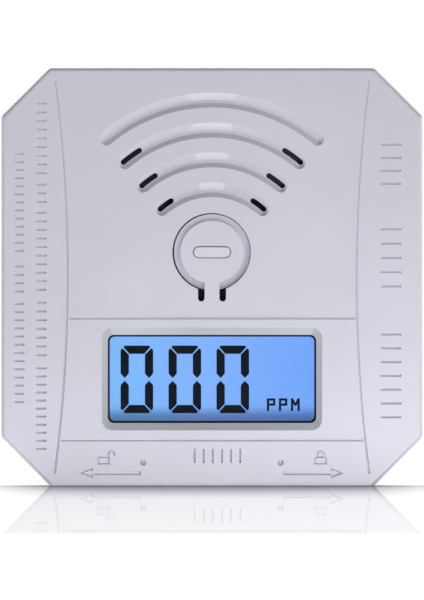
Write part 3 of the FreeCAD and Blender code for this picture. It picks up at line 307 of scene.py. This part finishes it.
# ---------------------------------------------------------------- board and components
def board():
    """Green solder mask over tracks."""
    m = Mat("board_green", (0.015, 0.16, 0.05), 0.32, spec=0.5, coat=0.2)
    brick = m.add("ShaderNodeTexBrick")
    brick.inputs["Scale"].default_value = 95.0
    brick.inputs["Mortar Size"].default_value = 0.018
    brick.inputs["Brick Width"].default_value = 0.9
    brick.inputs["Row Height"].default_value = 0.23
    turn = m.add("ShaderNodeMapping")
    turn.inputs["Rotation"].default_value = (math.radians(90), 0, 0)
    m.link(m.coords(), turn.inputs["Vector"])
    m.link(turn.outputs[0], brick.inputs["Vector"])
    weave = m.noise(1300.0, 3.0)
    ground = m.ramp(weave, [(0.3, (0.010, 0.120, 0.040)), (0.7, (0.020, 0.170, 0.060))])
    m.colour(m.mix(brick.outputs["Fac"], ground, (0.035, 0.27, 0.09)))
    m.bump(brick.outputs["Fac"], 0.00004, 0.6)
    m.rough(m.span(weave, 0.3, 0.7, 0.25, 0.42))
    return m


assign(board(), "main_board")
STEEL = (0.60, 0.60, 0.61)
assign(metal("screw_steel", STEEL, 0.3, scale=1400.0), "case_screws", "board_screws")
assign(moulded("sensor_cap_grey", (0.035, 0.036, 0.040), rough=0.4, spread=0.12), "sensor_cap")
assign(metal("switch_steel", (0.66, 0.66, 0.66), 0.3), "switch_cover")
assign(metal("tinned_lead", (0.72, 0.72, 0.71), 0.35), "microcontroller_leads")
assign(metal("contact_nickel", (0.68, 0.67, 0.63), 0.24, (1, 12, 1)),
       "contact_positive", "contact_negative", "contact_bridge_upper", "contact_bridge_lower")
assign(metal("spring_nickel", (0.72, 0.71, 0.68), 0.18, scale=2200.0), "battery_springs")
assign(metal("brass_disc", (0.75, 0.56, 0.24), 0.3), "sounder_diaphragm")


def winding():
    m = Mat("enamelled_copper", (0.62, 0.22, 0.07), 0.25, metal=1.0)
    m.set("Coat Weight", 0.6)
    m.colour(m.ramp(m.noise(600.0, 2.0), [(0.3, (0.50, 0.16, 0.05)), (0.7, (0.72, 0.28, 0.10))]))
    m.bump(m.noise(3000.0, 2.0), 0.00001, 0.3)
    return m


assign(winding(), "coil_winding")
assign(
    moulded("ferrite", (0.035, 0.036, 0.040), rough=0.55, grain=1500.0, depth=0.00005, spread=0.2),
    "coil_core",
)
assign(
    moulded("sounder_black", (0.016, 0.016, 0.018), rough=0.45, spread=0.15),
    "sounder_case", "sounder_base", "sensor_body",
)
assign(moulded("ceramic_disc", (0.62, 0.60, 0.52), rough=0.35, grain=900.0, spread=0.06), "sounder_ceramic")
assign(moulded("switch_black", (0.022, 0.022, 0.024), rough=0.5, spread=0.15), "switch_body")
assign(moulded("plunger_plastic", (0.045, 0.045, 0.048), rough=0.4, spread=0.1), "switch_plunger")
assign(
    moulded("chip_black", (0.020, 0.020, 0.021), rough=0.6, grain=3200.0, depth=0.00003, spread=0.15),
    "microcontroller",
)


def cloth():
    m = Mat("filter_charcoal", (0.012, 0.012, 0.012), 0.95)
    a = m.add("ShaderNodeTexWave", bands_direction="X")
    b = m.add("ShaderNodeTexWave", bands_direction="Z")
    for w in (a, b):
        w.inputs["Scale"].default_value = 900.0
        m.link(m.coords(), w.inputs["Vector"])
    weave = m.math("MULTIPLY", a.outputs["Fac"], b.outputs["Fac"])
    m.colour(m.ramp(weave, [(0.0, (0.004, 0.004, 0.004)), (1.0, (0.025, 0.025, 0.025))]))
    m.bump(weave, 0.00008, 0.8)
    return m


assign(cloth(), "sensor_filter")


def epoxy(name, colour):
    """Tinted see-through lamp body."""
    m = Mat(name, colour, 0.12, spec=0.5)
    m.set("Transmission Weight", 0.6)
    m.set("IOR", 1.5)
    m.colour(m.ramp(m.noise(500.0, 2.0), [(0.3, tone(colour, 0.85)), (0.7, tone(colour, 1.1))]))
    m.bump(m.noise(1800.0, 1.0), 0.00001, 0.2)
    return m


assign(epoxy("led_green", (0.05, 0.55, 0.15)), "status_led_green")
assign(epoxy("led_red", (0.75, 0.04, 0.03)), "status_led_red")
assign(epoxy("led_amber", (0.85, 0.40, 0.03)), "status_led_amber")


def sleeve():
    """Shrink sleeve with a pale stripe down one side and a bare pressed top."""
    m = Mat("capacitor_sleeve", (0.02, 0.03, 0.10), 0.3)
    out = m.xyz()
    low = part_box("capacitors")[0].y
    top = m.span(out[1], low + 0.0012, low + 0.0016)
    navy, stripe = (0.015, 0.025, 0.09), (0.45, 0.46, 0.48)
    side = m.ramp(m.noise(60.0, 1.0, stretch=(1, 0.05, 1)), [(0.53, navy), (0.55, stripe)])
    m.colour(m.mix(top, (0.55, 0.55, 0.54), side))
    m.bump(m.noise(1800.0), 0.00002, 0.3)
    return m


assign(sleeve(), "capacitors")


def chips():
    m = Mat("chip_parts", (0.2, 0.15, 0.11), 0.5)
    pick = m.add("ShaderNodeTexVoronoi")
    pick.inputs["Scale"].default_value = 260.0
    m.link(m.coords(), pick.inputs["Vector"])
    ceramic, black = (0.30, 0.21, 0.13), (0.02, 0.02, 0.02)
    kind = m.ramp(pick.outputs["Color"], [(0.0, ceramic), (0.5, ceramic), (0.52, black)], "CONSTANT")
    m.colour(kind)
    m.bump(m.noise(2500.0), 0.00002, 0.4)
    return m


assign(chips(), "chip_components")


# ---------------------------------------------------------------- cells
def cell(name, low, high, nub_up):
    """Printed sleeve: dark body, copper band at the nub end, and bare metal at both ends."""
    m = Mat(name, (0.03, 0.05, 0.14), 0.28, coat=0.3)
    out = m.xyz()
    along = m.span(out[2], low.z, high.z, 0.0 if nub_up else 1.0, 1.0 if nub_up else 0.0)
    paint = m.ramp(along, [(0.0, (0.60, 0.60, 0.58)), (0.012, (0.018, 0.022, 0.030)),
                           (0.66, (0.018, 0.022, 0.030)), (0.665, (0.50, 0.24, 0.10)),
                           (0.955, (0.50, 0.24, 0.10)), (0.962, (0.62, 0.62, 0.60))], "CONSTANT")
    stops = [(0.0, (1.0,)), (0.012, (0.35,)), (0.66, (0.35,))]
    stops += [(0.665, (0.75,)), (0.955, (0.75,)), (0.962, (1.0,))]
    bare = m.ramp(along, stops, "CONSTANT")
    film = m.ramp(m.noise(120.0, 3.0), [(0.3, (0.93,)), (0.7, (1.0,))])
    m.colour(m.mix(1.0, paint, film, "MULTIPLY"))
    m.link(bare, m.bsdf.inputs["Metallic"])
    m.bump(m.noise(1600.0, 3.0), 0.00001, 0.3)
    return m


for i in (1, 2, 3):
    node = f"battery_cell_{i}"
    assign(cell(node + "_sleeve", *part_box(node), nub_up=i != 2), node)


# ---------------------------------------------------------------- floor, lights, camera
def floor():
    """White light table. Only the strip in front of the object has a mirror finish and a painted contact
    shadow.
    """
    me = bpy.data.meshes.new("floor")
    bm = bmesh.new()
    bmesh.ops.create_grid(bm, x_segments=8, y_segments=8, size=4.0)
    bm.to_mesh(me)
    bm.free()
    ob = bpy.data.objects.new("floor", me)
    bpy.context.scene.collection.objects.link(ob)
    m = Mat("floor_white", (0.03, 0.03, 0.03), 0.5, spec=0.0)
    out = m.xyz()
    in_front = m.span(out[1], cad_low.y + 0.004, cad_low.y - 0.001)
    # painted contact shadow: ambient occlusion, raised to a power that is high only in front of the object,
    # darkens the table's glow
    ao = m.add("ShaderNodeAmbientOcclusion", samples=12)
    ao.inputs["Distance"].default_value = 0.06
    across = m.math("ABSOLUTE", out[0])
    under = m.math("MULTIPLY", in_front, m.span(across, cad_high.x, cad_high.x - CORNER_WIDTH))
    shade = m.math("POWER", ao.outputs["AO"], m.span(under, 0.0, 1.0, 0.03, 3.0))
    m.link(m.mix(shade, (0.02, 0.02, 0.02), (1, 1, 1)), m.bsdf.inputs["Emission Color"])
    m.set("Emission Strength", FLOOR_GLOW)
    beyond = [m.math("MAXIMUM", m.math("SUBTRACT", m.math("ABSOLUTE", out[i]), half), 0.0)
              for i, half in ((0, cad_high.x), (1, cad_high.y))]
    away = m.math("SQRT", m.math("ADD", m.math("POWER", beyond[0], 2.0), m.math("POWER", beyond[1], 2.0)))
    shine_stops = [(0.0, (0.50,)), (0.12, (0.42,)), (0.80, (0.30,)), (0.86, (0.0,))]
    shine = m.ramp(m.span(away, 0.0, 0.22), shine_stops)
    mirror = m.add("ShaderNodeBsdfAnisotropic")
    mirror.inputs["Roughness"].default_value = 0.0
    # painted contact shadow in the reflection: the mirror colour is darkened within 3 cm of the footprint
    mirror_shadow_stops = [(0.0, (0.15,)), (0.2, (0.62,)), (1.0, (1.0,))]
    m.link(m.ramp(m.span(away, 0.0, 0.03), mirror_shadow_stops), mirror.inputs["Color"])
    mix = m.add("ShaderNodeMixShader")
    m.link(m.math("MULTIPLY", shine, in_front), mix.inputs[0])
    m.link(m.bsdf.outputs[0], mix.inputs[1])
    m.link(mirror.outputs[0], mix.inputs[2])
    m.link(mix.outputs[0], m.nt.nodes["Material Output"].inputs["Surface"])
    me.materials.append(m.m)
    return ob


def area(name, place, target, width, depth, watts, colour=(1, 1, 1)):
    light = bpy.data.lights.new(name, "AREA")
    light.shape = "RECTANGLE"
    light.size, light.size_y = width, depth
    light.energy = watts
    light.color = colour
    ob = bpy.data.objects.new(name, light)
    bpy.context.scene.collection.objects.link(ob)
    ob.location = place
    ob.rotation_mode = "QUATERNION"
    ob.rotation_quaternion = (Vector(target) - Vector(place)).to_track_quat("-Z", "Y")
    ob.visible_camera = False
    return ob


def world(level, seen):
    """Even studio light. The camera, and the floor's mirror finish, see it as plain white."""
    w = bpy.data.worlds.new("studio")
    bpy.context.scene.world = w
    w.use_nodes = True
    nt = w.node_tree
    back = nt.nodes["Background"]
    back.inputs["Color"].default_value = (1, 1, 1, 1)
    path = nt.nodes.new("ShaderNodeLightPath")
    either = nt.nodes.new("ShaderNodeMath")
    either.operation = "MAXIMUM"
    nt.links.new(path.outputs["Is Camera Ray"], either.inputs[0])
    nt.links.new(path.outputs["Is Singular Ray"], either.inputs[1])
    mix = nt.nodes.new("ShaderNodeMapRange")
    mix.inputs[3].default_value = level
    mix.inputs[4].default_value = seen
    nt.links.new(either.outputs[0], mix.inputs[0])
    nt.links.new(mix.outputs[0], back.inputs["Strength"])


FLOOR_GLOW = 1.0
CORNER_WIDTH = 0.012               # how far the cut corners reach in from the sides
WORLD_LIGHT, WORLD_SEEN = 0.12, 1.05
table = floor()
table.visible_shadow = False       # the two lamps under the table shine through it
world(WORLD_LIGHT, WORLD_SEEN)
area("under_table_softbox", (0.05, -0.07, -0.05), (0.0, 0.0, 0.02), 0.16, 0.06, 0.14)
area("under_edge_strip", (0.0, -0.035, -0.012), (0.0, -0.019, 0.005), 0.12, 0.01, 0.019)
area("side_softbox", (0.8, -0.62, 0.12), (0.0, 0.0, 0.05), 0.4, 0.4, 1.7)
area("rear_top_softbox", (0.0, 0.8, 0.9), (0.0, 0.0, 0.05), 1.0, 1.0, 8.5)
area("rear_left_softbox", (-0.9, 0.5, 0.2), (0.0, 0.0, 0.05), 0.7, 0.7, 5.5)
area("rear_right_softbox", (0.9, 0.5, 0.2), (0.0, 0.0, 0.05), 0.7, 0.7, 5.5)

CAMERA_GAP = 0.9
FRAME_TALL = 0.14486
cam = bpy.data.cameras.new("camera")
cam.lens = cam.sensor_width * CAMERA_GAP / FRAME_TALL
cam_ob = bpy.data.objects.new("camera", cam)
bpy.context.scene.collection.objects.link(cam_ob)
cam_ob.location = (0.0, cad_low.y - CAMERA_GAP, 0.0449)
cam_ob.rotation_euler = (math.radians(90), 0, 0)
cam.clip_start, cam.clip_end = 0.01, 20.0
bpy.context.scene.camera = cam_ob
bpy.context.scene.view_settings.view_transform = "Standard"
